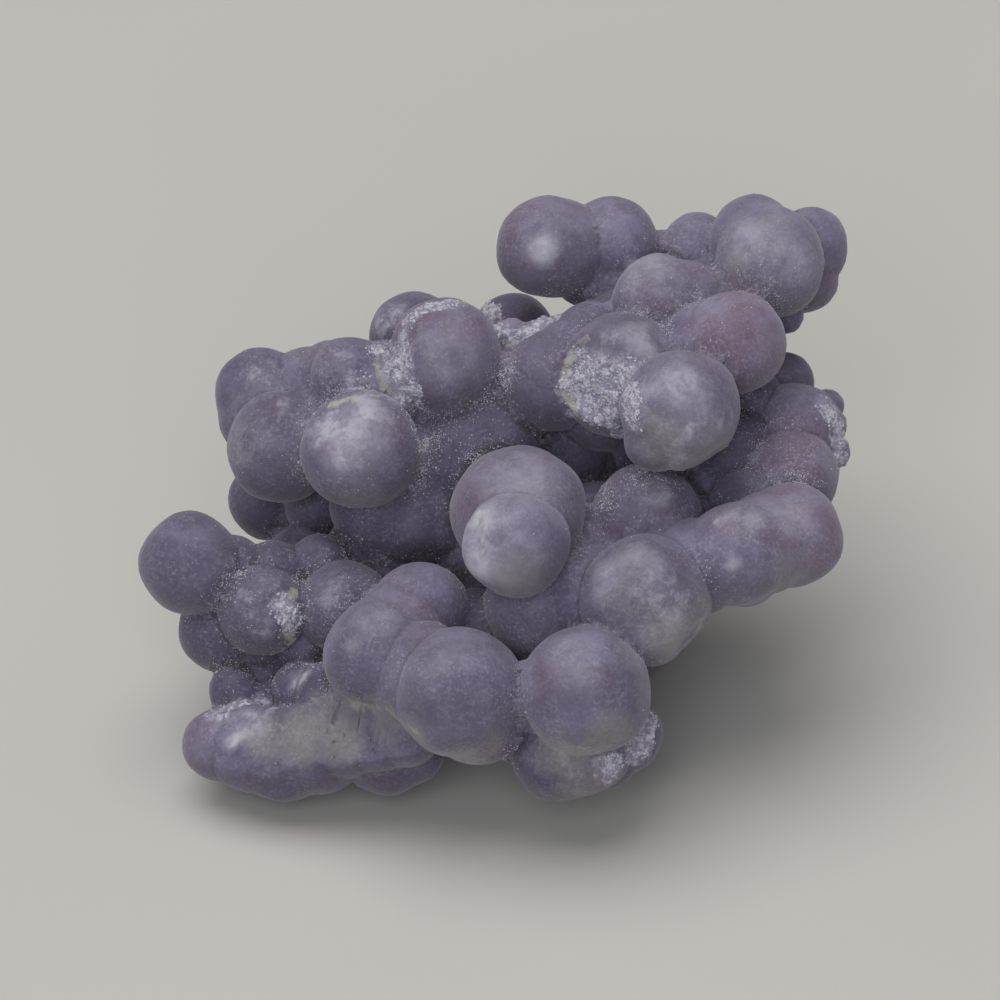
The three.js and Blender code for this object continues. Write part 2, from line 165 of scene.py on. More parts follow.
# Patches on the skin by their seen place: [across, up, radius, strength].
patches = {
    "frost": [
        [-5.3, 7.2, 1.4, 0.8], [-4.9, 5.9, 1.1, 0.75], [-6.3, 8.0, 1.0, 0.5], [-7.2, 6.2, 1.1, 0.4],
        [4.1, 6.0, 1.1, 1.0], [4.4, 5.0, 1.0, 1.0], [5.6, 5.1, 1.1, 0.9], [6.8, 5.3, 1.0, 0.95],
        [6.6, 6.6, 1.0, 0.9], [5.4, 6.6, 1.3, 0.65], [7.0, 4.2, 0.7, 0.8], [4.2, 7.4, 0.8, 0.6],
        [-11.4, -5.6, 0.8, 0.9], [-11.0, -6.6, 0.7, 1.0],
        [17.3, 4.9, 0.9, 1.0], [17.7, 3.4, 0.9, 1.0], [17.8, 1.9, 0.8, 0.9],
        [-14.6, -11.2, 0.6, 0.5],
        [7.6, -11.6, 1.0, 0.7], [7.3, -13.0, 1.1, 0.8], [5.9, -14.2, 1.1, 0.7],
    ],
    "film": [
        [-8.6, 3.9, 1.7, 1.0], [-7.4, 4.6, 1.7, 0.8], [-6.6, 3.6, 1.3, 0.6], [-8.0, 2.6, 1.1, 0.8],
        [-12.3, 6.0, 1.5, 0.7], [-11.2, 5.0, 1.0, 0.5], [-13.6, 5.2, 0.9, 0.4], [-10.2, 4.4, 1.0, 0.6],
        [-8.4, 7.0, 1.6, 0.4], [-6.0, 9.6, 1.4, 0.7], [-12.6, -6.4, 1.3, 0.6], [-13.4, -5.2, 1.0, 0.5],
        [-9.0, -4.8, 1.3, 0.4], [-9.6, -2.8, 0.9, 0.4], [-14.6, -3.6, 1.3, 0.35], [-12.4, -4.0, 1.0, 0.4],
        [9.0, 3.0, 1.8, 0.4], [8.4, -5.6, 1.6, 0.4], [4.0, -13.6, 1.6, 0.4], [7.2, 10.9, 1.4, 0.3],
        [-1.3, -1.4, 1.3, 0.7], [-1.6, -2.8, 1.1, 0.7], [2.2, 13.2, 0.8, 0.9], [9.6, 5.8, 1.3, 0.5],
        [-14.8, -11.7, 1.0, 0.5], [-10.6, -9.6, 0.9, 0.5], [-13.8, 2.6, 1.2, 0.3], [7.6, -2.6, 0.9, 0.4],
        [5.6, 7.8, 1.5, 0.6], [7.0, 8.3, 1.2, 0.4], [10.6, 3.4, 1.3, 0.7], [11.8, 4.2, 1.0, 0.6],
        [9.4, 2.2, 1.2, 0.6], [8.6, -5.0, 1.6, 0.6], [9.8, -4.6, 1.2, 0.5], [-5.4, 7.0, 1.7, 0.9],
    ],
    "cloudAndHighlight": [
        [2.2, 13.2, 1.0, 0.8], [9.5, 6.2, 1.3, 0.7], [7.9, 5.6, 1.1, 0.6], [10.4, 5.2, 1.1, 0.4],
        [-0.2, -2.4, 2.0, 0.6], [-1.2, -1.5, 1.5, 1.2], [-1.3, -3.0, 1.4, 1.2], [8.4, 0.6, 1.0, 1.0],
        [11.5, -1.1, 0.3, 0.9], [12.2, -3.3, 0.5, 0.7], [8.6, -6.8, 1.4, 0.4], [-5.4, 6.4, 1.4, 0.5],
        [-7.7, -7.7, 0.6, 0.5],
        [7.9, 8.6, 1.6, 0.5], [12.6, 13.6, 1.6, 0.5], [15.6, 12.4, 1.6, 0.3], [7.4, 12.4, 1.8, 0.5],
        [1.0, 0.6, 2.4, 0.35], [-2.4, 7.4, 2.0, 0.25], [-8.0, 3.6, 2.2, 0.5], [-13.6, 3.0, 1.8, 0.25],
        [5.4, -4.2, 1.2, 0.5], [7.2, -3.6, 1.4, 0.35], [12.8, -0.9, 1.4, 0.4], [15.4, -1.0, 1.4, 0.35],
        [-2.6, -8.0, 1.6, 0.25], [4.0, -8.2, 1.8, 0.3], [-13.2, -11.7, 1.2, 0.8], [-6.6, -6.4, 1.4, 0.3],
        [5.2, 5.6, 2.0, 0.5], [-5.4, 6.8, 1.4, 0.4],
    ],
    "crust": [
        [0.5, 8.5, 0.4, 0.9], [8.5, 0.6, 0.5, 0.45], [9.9, -5.4, 0.7, 0.4], [-9.3, 1.2, 0.7, 0.45],
        [17.6, 4.4, 0.5, 0.5],
    ],
    "pale": [
        [9.0, -7.4, 1.8, 1.0], [10.6, -6.0, 1.4, 0.8], [7.0, -8.3, 1.2, 0.7], [6.6, -5.6, 2.0, 0.4],
        [-9.4, -10.9, 1.3, 0.8], [-7.6, -10.9, 1.5, 0.8], [-6.0, -11.4, 1.5, 0.8], [-4.6, -12.2, 1.2, 0.8],
        [-10.4, -12.4, 1.8, 1.0], [-12.2, -12.6, 1.3, 0.8], [-8.4, -12.4, 1.6, 1.0],
        [-2.0, -13.6, 1.6, 1.0], [-0.4, -12.8, 1.0, 0.6], [3.2, -13.2, 1.8, 0.9], [5.8, -12.4, 1.6, 0.9],
        [4.2, -14.8, 1.8, 0.7], [7.4, -10.0, 1.0, 0.6], [8.4, 2.9, 2.0, 0.8], [9.8, 1.9, 1.6, 1.0],
        [11.4, 3.0, 1.5, 0.8], [0.9, -4.2, 1.9, 0.9], [-7.4, 0.1, 1.4, 0.5], [14.6, 14.2, 1.6, 0.4],
        [13.0, 11.8, 2.4, 0.35], [7.0, -3.4, 2.2, 0.3], [15.4, -3.6, 1.6, 0.4],
    ],
    "dust": [
        [-13.2, -4.2, 3.8, 0.8], [-9.0, -4.0, 2.5, 0.9], [-15.6, -7.5, 2.0, 0.5],
        [-2.6, 2.8, 3.0, 0.9], [-3.8, 1.0, 1.6, 0.7], [-7.0, 0.6, 1.8, 0.3],
        [0.4, 6.7, 1.6, 1.0], [-1.2, 5.2, 1.6, 0.7],
        [9.9, 10.2, 2.0, 1.0], [7.6, 11.6, 2.0, 0.5], [12.0, 9.6, 1.8, 0.6], [4.2, 8.9, 1.6, 0.8],
        [3.6, 6.8, 2.2, 0.5], [15.2, 2.4, 2.6, 1.0], [13.4, 3.8, 2.4, 0.7], [12.6, -0.6, 1.8, 0.5],
        [-12.0, 2.6, 2.8, 0.5], [-8.4, 6.8, 2.4, 0.7], [6.5, 1.0, 2.6, 0.5], [2.2, 13.0, 2.0, 0.3],
        [14.0, 12.0, 2.2, 0.4], [-13.6, -10.2, 1.8, 0.7], [-10.5, -9.4, 2.0, 0.8],
    ],
}

# Streaks are patches strung along a line of seen places: (radius, strength, places).
streaks = {
    "frost": [
        (0.45, 1.0, [(-0.9, 10.2), (0.1, 8.9), (0.8, 8.5), (1.7, 8.9), (2.4, 9.5), (3.3, 9.6)]),
        (0.4, 0.9, [(-5.0, 9.5), (-4.0, 10.1), (-2.9, 10.35), (-1.6, 10.4)]),
        (0.35, 0.8, [(-5.2, 8.6), (-4.6, 9.3)]),
        (0.3, 0.8, [(-15.4, -11.2), (-12.7, -10.4), (-11.8, -11.1)]),
        (0.45, 0.8, [(3.9, 4.6), (4.9, 4.3), (5.7, 4.2), (6.6, 3.2)]),
    ],
    # the cloud streaks along the slab's rim are painted highlight
    "cloudAndHighlight": [
        (0.45, 1.0, [(-14.2, -12.8), (-13.4, -12.2), (-12.6, -11.7)]),
        (0.3, 1.0, [(-10.7, -9.7), (-10.2, -9.1)]), (0.25, 1.0, [(-12.3, -11.2), (-12.1, -11.0)]),
    ],
    "crust": [
        (0.3, 0.75, [(4.6, 8.5), (3.8, 7.8), (3.4, 6.7), (3.4, 5.7), (3.8, 5.0), (4.3, 4.5)]),
        (0.25, 0.7, [(-6.3, 8.2), (-6.5, 7.1), (-6.2, 5.9), (-5.3, 5.7), (-4.8, 5.9)]),
        (0.25, 0.9, [(-9.0, 5.0), (-7.4, 5.4), (-5.8, 5.5), (-4.3, 5.0)]),
        (0.25, 0.55, [(-4.1, 3.2), (-4.2, 2.2), (-4.0, 1.3)]),
        (0.25, 0.8, [(1.5, 4.0), (1.95, 3.5), (2.2, 3.0)]),
        (0.35, 1.0, [(-10.8, -4.8), (-11.3, -5.8), (-11.2, -6.8), (-10.9, -7.7)]),
        (0.25, 0.5, [(7.9, -8.6), (9.3, -8.0), (10.3, -7.0), (10.9, -5.8)]),
        (0.3, 0.5, [(-10.0, -10.5), (-8.0, -10.6), (-6.2, -10.9), (-4.2, -12.4)]),
    ],
}

# How dark and blue a lobe is painted, from 0 to 1: partly its own colour and partly painted shade. The
# recessed lobes are the darkest.
lobeDarknessAndShade = {
    "hollow": [1.0, 0.9, 1.0, 0.9, 1.0, 0.85, 1.0, 0.95],
    "heart": [1.0] * 17,
    "saddle": [0.75, 0.6, 0.0, 0.0, 0.0, 0.0, 0.0, 0.5],
    "leftFlank": [0.65, 1.0, 0.95, 1.0, 1.0, 1.0, 1.0, 1.0, 0.85, 0.9, 1.0, 1.0],
    "rightFlank": [0.5, 0.1, 0.0, 0.5, 0.15, 0.25, 0.4, 1.0, 1.0, 0.2, 0.2, 0.2, 0.1, 0.3, 0.85, 0.9],
    "frontRight": [0.6, 0.2, 0.5],
    "frontRow": [0.3, 0.6, 0.4, 0.4, 0.3, 1.0, 0.85, 0.7, 0.85, 0.4, 0.5],
    "frontSlab": [0.9, 0.35, 0.3, 0.75, 0.8, 0.85, 0.75, 0.8, 1.0, 0.9, 0.3, 1.0],
    "leftShoulder": [0.25, 0.6, 1.0, 0.5, 0.5, 0.65, 0.75, 0.35, 0.4, 0.4, 0.7],
    "foot": [0.6] * 9,
    "side": [0.5] * 6,
    "rearKnob": [0.3, 0.0, 0.15, 0.6, 0.6, 0.6],
    "middleKnob": [0.4, 0.2],
    "rightShoulder": [0.4, 0.0, 0.6, 0.3, 0.5, 0.7, 0.2, 0.2, 0.3],
    "crown": [0.0, 0.05, 0.05, 0.3, 0.2, 0.5, 0.5],
}

skin = {
    "voxel": 0.36,  # spacing of the fused skin's grid, halved twice towards the creases
    "halvedWithin": (0.44, 0.15),
    "halvedAbove": 0.3,  # the least crease strength that counts
    "halvedNearerThan": -7.0,  # measured towards the viewer from the focus
    "settleRounds": (6, 3),  # for the fused grid, and for the points added to it
    "settleStep": 0.25,
    "slopeStep": 0.02,
    "creaseRadius": 0.05,  # how softly two lobes run together
    "slabCreaseRadius": 0.12,
    "flatAngle": 0.45,  # lobes that meet more gently than this have a fainter crease
    "unevenShare": 0.035,
    "unevenWavelength": 3.6,
    "ripple": ((2.4, 0.11), (1.1, 0.05), (0.62, 0.018)),  # wavelength and height of the skin's own lumps
    "rippleSeed": 21,
    "frostRoughness": ((1.0, 0.12), (0.52, 0.10), (0.3, 0.05)),
    "frostSeed": 31,
    "brokenRoughness": 0.16,
    "brokenWaves": ((0.9, 11), (0.4, 12)),  # wavelength and seed
    "inset": 0.03,  # the skin stays this far inside the solid's lobes
    "lineWidth": 0.11,
    "bandReach": 1.3,
    "recessReaches": (0.8, 1.6, 2.4, 3.2),
    "blendWidth": 0.12,  # how widely the lobes' own colours run together
    "tintSeed": 5,
    # lobes not listed get this darkness, partly their own colour and partly painted shade
    "otherDarknessAndShade": 0.2,
}

sight = {
    "startNearer": 25.0,  # the search for a seen place starts this far in front of the focus
    "steps": 60,
    "leastStep": -0.5,
    "mostStep": 3.0,
    "streakSpacing": 0.7,  # as a share of the patches' radius
    "fadeReach": 1.35,  # a patch ends at this many radii, and fades over the last one
}


# The photograph's axes in the part's own frame, from the camera's elevation and roll.
def viewAxes():
    cosRoll, sinRoll = math.cos(view["roll"]), math.sin(view["roll"])
    cosLift, sinLift = math.cos(view["elevation"]), math.sin(view["elevation"])
    across = np.array([cosRoll, -sinRoll * sinLift, -sinRoll * cosLift])
    up = np.array([sinRoll, cosRoll * sinLift, cosRoll * cosLift])
    near = np.array([0.0, -cosLift, sinLift])
    return across, up, near


acrossAxis, upAxis, nearAxis = viewAxes()
boxMiddle = np.array([*view["boxMiddle"], 0.0])
groundDrop = view["groundBelowCentre"]
focusHeight, focusDepth = groundDrop * math.cos(view["elevation"]), groundDrop * math.sin(view["elevation"])
focusPoint = np.array([0.0, focusDepth, focusHeight]) - boxMiddle
cameraPoint = focusPoint + view["distance"] * nearAxis


# A seen lobe's centre lies on the line of sight through its seen place, so it shrinks towards the middle as
# it comes nearer.
def placeSeenLobes(rows):
    rows = np.asarray(rows, float)
    shrink = 1 - rows[:, 2:3] / view["distance"]
    centres = focusPoint + rows[:, :1] * shrink * acrossAxis + rows[:, 1:2] * shrink * upAxis
    return centres + rows[:, 2:3] * nearAxis, rows[:, 3] * shrink[:, 0]


def gatherLobes():
    centres, radii, starts, count = [], [], {}, 0
    for group, rows in seenLobes.items():
        centre, radius = placeSeenLobes(rows)
        starts[group] = count
        centres.append(centre)
        radii.append(radius)
        count += len(rows)
    for group, rows in hiddenLobes.items():
        rows = np.asarray(rows, float)
        starts[group] = count
        centres.append(rows[:, :3] - boxMiddle)
        radii.append(rows[:, 3])
        count += len(rows)
    return np.vstack(centres), np.concatenate(radii) - skin["inset"], starts


lobeCentres, lobeRadii, groupStarts = gatherLobes()
print("lobes", len(lobeRadii))


# Three crossed waves, the same ones that make the solid's lobes uneven.
def unevenness(points):
    x, y, z = (points + boxMiddle).T
    wave = 2 * math.pi / skin["unevenWavelength"]
    first = np.sin(x * wave + 0.7 * y)
    second = np.sin(y * wave + 0.6 * z + 2)
    third = np.sin(z * wave + 0.5 * x + 4)
    return (first + second + third) / 3


# Random heights on a cubic lattice, eased between its eight nearest points: -1 to 1 at each given point.
def latticeNoise(points, wavelength, seed):
    cells = 64  # the lattice repeats after this many
    heights = np.random.default_rng(seed).uniform(-1, 1, (cells, cells, cells))
    place = points / wavelength
    cell = np.floor(place).astype(int)
    share = place - cell
    share = share * share * (3 - 2 * share)
    low, high = cell % cells, (cell + 1) % cells
    value = np.zeros(len(points))
    for corner in np.ndindex(2, 2, 2):
        x, y, z = ((high if side else low)[:, axis] for axis, side in enumerate(corner))
        weightX, weightY, weightZ = (share[:, axis] if side else 1 - share[:, axis]
                                     for axis, side in enumerate(corner))
        value += heights[x, y, z] * (weightX * weightY) * weightZ
    return value


# Each broken face is a plane: the points whose reach along its outward normal is the given one.
def placeBreaks():
    rows = []
    for group, places, normal, depth in brokenFaces:
        lobe = groupStarts[group] + places[0]
        outward = normal[0] * acrossAxis + normal[1] * upAxis + normal[2] * nearAxis
        outward = outward / np.linalg.norm(outward)
        reach = outward @ lobeCentres[lobe] + lobeRadii[lobe] - depth
        rows += [(groupStarts[group] + place, outward, reach) for place in places]
    return rows


breaks = placeBreaks()
slabStart = groupStarts["frontSlab"]
slabEnd = slabStart + len(seenLobes["frontSlab"])


# Distance to each lobe's uneven sphere.
def roundDistances(points):
    swell = 1 + skin["unevenShare"] * unevenness(points)
    squared = (points**2).sum(1)[:, None] + (lobeCentres**2).sum(1) - 2 * points @ lobeCentres.T
    return np.sqrt(np.maximum(squared, 0)) - swell[:, None] * lobeRadii


# The same with the broken faces cut: the distance to a lobe's plane counts where it is the larger.
def lobeDistances(points):
    distances = roundDistances(points)
    broad, fine = (latticeNoise(points, *wave) for wave in skin["brokenWaves"])
    rough = skin["brokenRoughness"] * (broad + 0.5 * fine)
    for lobe, outward, reach in breaks:
        distances[:, lobe] = np.maximum(distances[:, lobe], points @ outward - reach + rough)
    return distances


# The least distance, less a little where several are nearly as small: -s log(sum of exp(-distance / s)).
def softMinimum(distances, soft):
    least = distances.min(1)
    return least - soft * np.log(np.exp((least[:, None] - distances) / soft).sum(1))


# The lobes' distances run together by a soft minimum, so creases are rounded and the skin is one surface.
# The slab's lobes run together more widely.
def bareField(points):
    distances = lobeDistances(points)
    slab = softMinimum(distances[:, slabStart:slabEnd], skin["slabCreaseRadius"])
    return np.minimum(softMinimum(distances, skin["creaseRadius"]), slab)


# Where the line of sight through a seen place first meets the stone, found by stepping the free distance.
def landOn(across, up):
    direction = focusPoint + across[:, None] * acrossAxis + up[:, None] * upAxis - cameraPoint
    direction = direction / np.linalg.norm(direction, axis=1)[:, None]
    point = cameraPoint + direction * (view["distance"] - sight["startNearer"])
    for _ in range(sight["steps"]):
        free = np.clip(bareField(point), sight["leastStep"], sight["mostStep"])
        point = point + direction * free[:, None]
    return point


# Places along a broken line, closer together than the radius of the patches strung on it.
def strungRows(radius, strength, places):
    rows = []
    for (startAcross, startUp), (endAcross, endUp) in zip(places, places[1:]):
        length = math.hypot(endAcross - startAcross, endUp - startUp)
        steps = math.ceil(length / (sight["streakSpacing"] * radius))
        share = np.linspace(0, 1, steps, endpoint=False)[:, None]
        start, end = np.array([startAcross, startUp]), np.array([endAcross, endUp])
        line = start * (1 - share) + end * share
        rows.append(np.hstack([line, np.full((steps, 1), radius), np.full((steps, 1), strength)]))
    return np.vstack(rows)


def placePatches():
    placed = {}
    for kind, rows in patches.items():
        strung = [strungRows(*streak) for streak in streaks.get(kind, [])]
        rows = np.vstack([np.asarray(rows, float)] + strung)
        placed[kind] = (landOn(rows[:, 0], rows[:, 1]), rows[:, 2], rows[:, 3])
    return placed


placedPatches = placePatches()


# A patch fades from its middle to its edge, and the strongest patch at a point counts.
def patchStrength(points, kind):
    middles, radii, strengths = placedPatches[kind]
    gap = np.linalg.norm(points[:, None] - middles, axis=2) / radii
    fade = np.clip(sight["fadeReach"] - gap, 0, 1)
    return (fade * fade * (3 - 2 * fade) * strengths).max(1)


# The finished skin: the bare field, raised by its ripples, roughened on frost, stopped by the flat foot.
def skinField(points):
    field = bareField(points)
    for seed, (wavelength, height) in enumerate(skin["ripple"]):
        field -= height * latticeNoise(points, wavelength, skin["rippleSeed"] + seed)
    frost = patchStrength(points, "frost")
    for seed, (wavelength, height) in enumerate(skin["frostRoughness"]):
        field -= frost * height * latticeNoise(points, wavelength, skin["frostSeed"] + seed)
    return np.maximum(field, -points[:, 2])


# A function's values at many points, worked out in parts to spare memory.
def inChunks(function, points, size=20000):
    parts = [function(points[start:start + size]) for start in range(0, len(points), size)]
    return np.concatenate(parts)


# The field's slope, from small steps along each axis.
def slopeOf(field, points, value):
    step = skin["slopeStep"]
    sides = [inChunks(field, points + step * axis) - value for axis in np.eye(3)]
    slope = np.stack(sides, axis=1)
    return slope / np.maximum(np.linalg.norm(slope, axis=1), 1e-9)[:, None]


def meshFrom(name, points, faces, smooth=True):
    mesh = bpy.data.meshes.new(name)
    mesh.from_pydata((points * mm).tolist(), [], faces.tolist())
    if smooth:
        mesh.polygons.foreach_set("use_smooth", np.ones(len(mesh.polygons), bool))
    mesh.update()
    return mesh


def addPiece(name, data):
    piece = bpy.data.objects.new(name, data)
    bpy.context.scene.collection.objects.link(piece)
    return piece


# Spheres on a grid of two angles: r sin(a) cos(b), r sin(a) sin(b), r cos(a), with a point at each pole.
def lobeSpheres(rows=20, columns=32):
    a = np.linspace(0, math.pi, rows + 1)[1:-1, None]
    b = np.linspace(0, 2 * math.pi, columns, endpoint=False)[None, :]
    ring = np.stack([np.sin(a) * np.cos(b), np.sin(a) * np.sin(b), np.cos(a) + 0 * b], axis=-1)
    ring = ring.reshape(-1, 3)
    unit = np.vstack([ring, [[0, 0, 1], [0, 0, -1]]])
    points = lobeCentres[:, None] + lobeRadii[:, None, None] * unit
    row, column = np.meshgrid(np.arange(rows - 2), np.arange(columns), indexing="ij")
    beside = (column + 1) % columns
    first = row * columns
    below = first + columns
    quads = np.stack([first + column, below + column, below + beside, first + beside], axis=-1)
    last = (rows - 2) * columns
    turn = np.arange(columns)
    top = np.stack([turn * 0 + len(ring), turn, (turn + 1) % columns], axis=-1)
    bottom = np.stack([turn * 0 + len(ring) + 1, last + (turn + 1) % columns, last + turn], axis=-1)
    offsets = np.arange(len(lobeRadii))[:, None, None] * len(unit)
    allQuads = (quads.reshape(1, -1, 4) + offsets).reshape(-1, 4).tolist()
    allCaps = (np.vstack([top, bottom])[None] + offsets).reshape(-1, 3).tolist()
    return points.reshape(-1, 3), allQuads + allCaps


# Blender's voxel remesh fuses the spheres, and only the largest closed shell is kept.
def fuseSpheres():
    points, faces = lobeSpheres()
    mesh = bpy.data.meshes.new("lobesApart")
    mesh.from_pydata((points * mm).tolist(), [], faces)
    apart = addPiece("lobesApart", mesh)
    remesh = apart.modifiers.new("fuse", "REMESH")
    remesh.mode = "VOXEL"
    remesh.voxel_size = skin["voxel"] * mm
    fused = bpy.data.meshes.new_from_object(apart.evaluated_get(bpy.context.evaluated_depsgraph_get()))
    bpy.data.objects.remove(apart)
    corners = np.empty(len(fused.vertices) * 3)
    fused.vertices.foreach_get("co", corners)
    loops = np.empty(len(fused.loops), int)
    fused.loops.foreach_get("vertex_index", loops)
    points, quads = corners.reshape(-1, 3) / mm, loops.reshape(-1, 4)
    return keepLargestShell(points, quads)


# Every vertex takes the least label among its neighbours until nothing changes: one label for each shell.
def keepLargestShell(points, quads):
    label = np.arange(len(points))
    ends = np.vstack([quads[:, [0, 1]], quads[:, [1, 2]], quads[:, [2, 3]], quads[:, [3, 0]]])
    changed = True
    while changed:
        before = label.copy()
        least = np.minimum(label[ends[:, 0]], label[ends[:, 1]])
        np.minimum.at(label, ends[:, 0], least)
        np.minimum.at(label, ends[:, 1], least)
        label = label[label]
        changed = (label != before).any()
    values, counts = np.unique(label, return_counts=True)
    kept = label == values[counts.argmax()]
    renumber = np.cumsum(kept) - 1
    return points[kept], renumber[quads[kept[quads[:, 0]]]]


# Once a round, each point steps towards where the field is zero, by the field's value and against its slope.
def settleOnSkin(points, rounds):
    most = skin["settleStep"]
    for _ in range(rounds):
        value = inChunks(skinField, points)
        slope = slopeOf(skinField, points, value)
        points = points - np.clip(value, -most, most)[:, None] * slope
    return points


# The crease between the two nearest lobes: 1 where they are equally near, falling off over the given width
# as one becomes nearer, and weaker where they meet at a flat angle. A broken face shared by both has none.
def creaseLine(points, width):
    distances = lobeDistances(points)
    nearest = np.argpartition(distances, 1, axis=1)[:, :2]
    pair = np.take_along_axis(distances, nearest, axis=1)
    gap = pair @ np.array([1.0, -1.0])
    whole = np.take_along_axis(roundDistances(points), nearest, axis=1)
    onBreaks = (pair > whole + 1e-6).all(axis=1)
    towards = points[:, None] - lobeCentres[nearest]
    towards = towards / np.linalg.norm(towards, axis=2)[:, :, None]
    angle = 1 - (towards[:, 0] * towards[:, 1]).sum(1)
    return np.exp(-((gap / width) ** 2)) * np.clip(angle / skin["flatAngle"], 0, 1) * ~onBreaks


# Edges between two wanted points are halved. A triangle then becomes two, three or four, by how many of its
# edges were halved, and is first turned so that the halved ones are its first.
def halveWhere(points, triangles, wanted):
    ends = np.sort(triangles[:, [[0, 1], [1, 2], [2, 0]]].reshape(-1, 2), axis=1)
    edges, place = np.unique(ends, axis=0, return_inverse=True)
    halved = wanted[edges[:, 0]] & wanted[edges[:, 1]]
    middle = np.where(halved, len(points) + np.cumsum(halved) - 1, -1)
    middles = middle[place.reshape(-1, 3)]
    points = np.vstack([points, points[edges[halved]].mean(axis=1)])
    count = (middles >= 0).sum(1)
    turn = np.where(count == 2, (middles < 0).argmax(1) + 1, 0)
    turn = np.where(count == 1, (middles >= 0).argmax(1), turn)
    order = (turn[:, None] + np.arange(3)) % 3
    a, b, c = np.take_along_axis(triangles, order, axis=1).T
    ab, bc, ca = np.take_along_axis(middles, order, axis=1).T
    whole, one, two, three = (count == number for number in range(4))
    parts = [
        (whole, a, b, c), (one, a, ab, c), (one, ab, b, c),
        (two, ab, b, bc), (two, a, ab, bc), (two, a, bc, c),
        (three, a, ab, ca), (three, ab, b, bc), (three, ca, bc, c), (three, ab, bc, ca),
    ]
    return points, np.vstack([np.stack(corners, axis=1)[chosen] for chosen, *corners in parts])


# The grid is halved near the creases on the viewer's side, once for each width, and the new points settle.
def finerTowardsCreases(points, triangles):
    for width in skin["halvedWithin"]:
        wanted = inChunks(lambda part: creaseLine(part, width), points) > skin["halvedAbove"]
        wanted &= (points - focusPoint) @ nearAxis > skin["halvedNearerThan"]
        before = len(points)
        points, triangles = halveWhere(points, triangles, wanted)
        points[before:] = settleOnSkin(points[before:], skin["settleRounds"][1])
    return points, triangles


skinPoints, skinQuads = fuseSpheres()
skinPoints[:, 2] = np.maximum(skinPoints[:, 2], 0)
print("fused skin", len(skinPoints), "points")
skinFaces = np.vstack([skinQuads[:, [0, 1, 2]], skinQuads[:, [0, 2, 3]]])
skinPoints = settleOnSkin(skinPoints, skin["settleRounds"][0])
skinPoints, skinFaces = finerTowardsCreases(skinPoints, skinFaces)
skinPoints[:, 2] = np.maximum(skinPoints[:, 2], 0)
lowCorner, highCorner = np.array(cadBox[0]) / mm, np.array(cadBox[1]) / mm
skinPoints = np.clip(skinPoints, lowCorner, highCorner)


# How much of a short way out from the surface is free: 1 on a lobe's crown, less in a crease or a hollow.
def opennessAt(points, normals, reach):
    return np.clip(inChunks(bareField, points + reach * normals) / reach, 0, 1)


def darknessAndShadeOfLobes():
    darkness = np.full(len(lobeRadii), skin["otherDarknessAndShade"])
    for group, values in lobeDarknessAndShade.items():
        darkness[groupStarts[group]:groupStarts[group] + len(values)] = values
    return darkness


# Each lobe has a share of its own in every point's tint and darkness, which includes painted shade, and
# shares blend across the creases.
def lobeShares(points):
    distances = lobeDistances(points)
    share = np.exp((distances.min(1)[:, None] - distances) / skin["blendWidth"])
    share /= share.sum(1)[:, None]
    tint = np.random.default_rng(skin["tintSeed"]).uniform(-1, 1, len(lobeRadii))
    return np.stack([share @ tint, share @ darknessAndShadeOfLobes()], axis=1)


# Values that the materials read from the skin.
def valuesOn(points, normals):
    shares = inChunks(lobeShares, points)
    openness = [opennessAt(points, normals, reach) for reach in skin["recessReaches"]]
    values = {
        "crease": inChunks(lambda part: creaseLine(part, skin["lineWidth"]), points),
        "band": 1 - opennessAt(points, normals, skin["bandReach"]),
        "recess": 1 - np.mean(openness, axis=0),
        "tint": shares[:, 0],
        "darkAndShade": shares[:, 1],
    }
    for kind in patches:
        values[kind] = inChunks(lambda part: patchStrength(part, kind), points)
    return values


def writeValues(mesh, values):
    for name, numbers in values.items():
        layer = mesh.attributes.new(name, "FLOAT", "POINT")
        layer.data.foreach_set("value", numbers.astype(np.float32))


skinNormals = slopeOf(bareField, skinPoints, inChunks(bareField, skinPoints))
skinAttributes = valuesOn(skinPoints, skinNormals)
stone = addPiece("stoneSkin", meshFrom("stoneSkin", skinPoints, skinFaces))
writeValues(stone.data, skinAttributes)
print("skin settled,", len(skinFaces), "triangles")

grains = {
    "crystals": {
        "count": 22000, "size": (0.016, 0.055), "raised": 0.3, "seed": 7,
        "clumps": ((1.5, 41), (0.5, 42)),  # wavelength and seed of the noise that gathers them
        "leastBand": 0.12, "scattered": 0.016,
    },
    "crumbs": {
        "count": 9500, "size": (0.06, 0.16), "raised": -0.35, "seed": 17,
        "clumps": ((0.7, 43), (1.6, 44)), "leastFrost": 0.3,
    },
    "unevenness": (0.7, 1.0),  # how far a grain's corners reach, as a share of its size
}


# Sites are drawn on the skin's triangles, each with a chance in step with its area and the wanted density.
def drawSites(count, density, seed):
    random = np.random.default_rng(seed)
    a, b, c = (skinPoints[skinFaces[:, k]] for k in range(3))
    area = np.linalg.norm(np.cross(b - a, c - a), axis=1) / 2
    chance = area * density[skinFaces].mean(1)
    chosen = random.choice(len(skinFaces), count, p=chance / chance.sum())
    u, v = random.random(count), random.random(count)
    fold = u + v > 1
    u, v = np.where(fold, 1 - u, u), np.where(fold, 1 - v, v)
    sites = a[chosen] + u[:, None] * (b - a)[chosen] + v[:, None] * (c - a)[chosen]
    return sites, skinNormals[skinFaces[chosen, 0]]


# The six tips of an octahedron and its eight faces.
def crystalForm():
    tips = np.array([[1, 0, 0], [-1, 0, 0], [0, 1, 0], [0, -1, 0], [0, 0, 1], [0, 0, -1]], float)
    faces = [[0, 2, 4], [2, 1, 4], [1, 3, 4], [3, 0, 4], [2, 0, 5], [1, 2, 5], [3, 1, 5], [0, 3, 5]]
    return tips, np.array(faces)


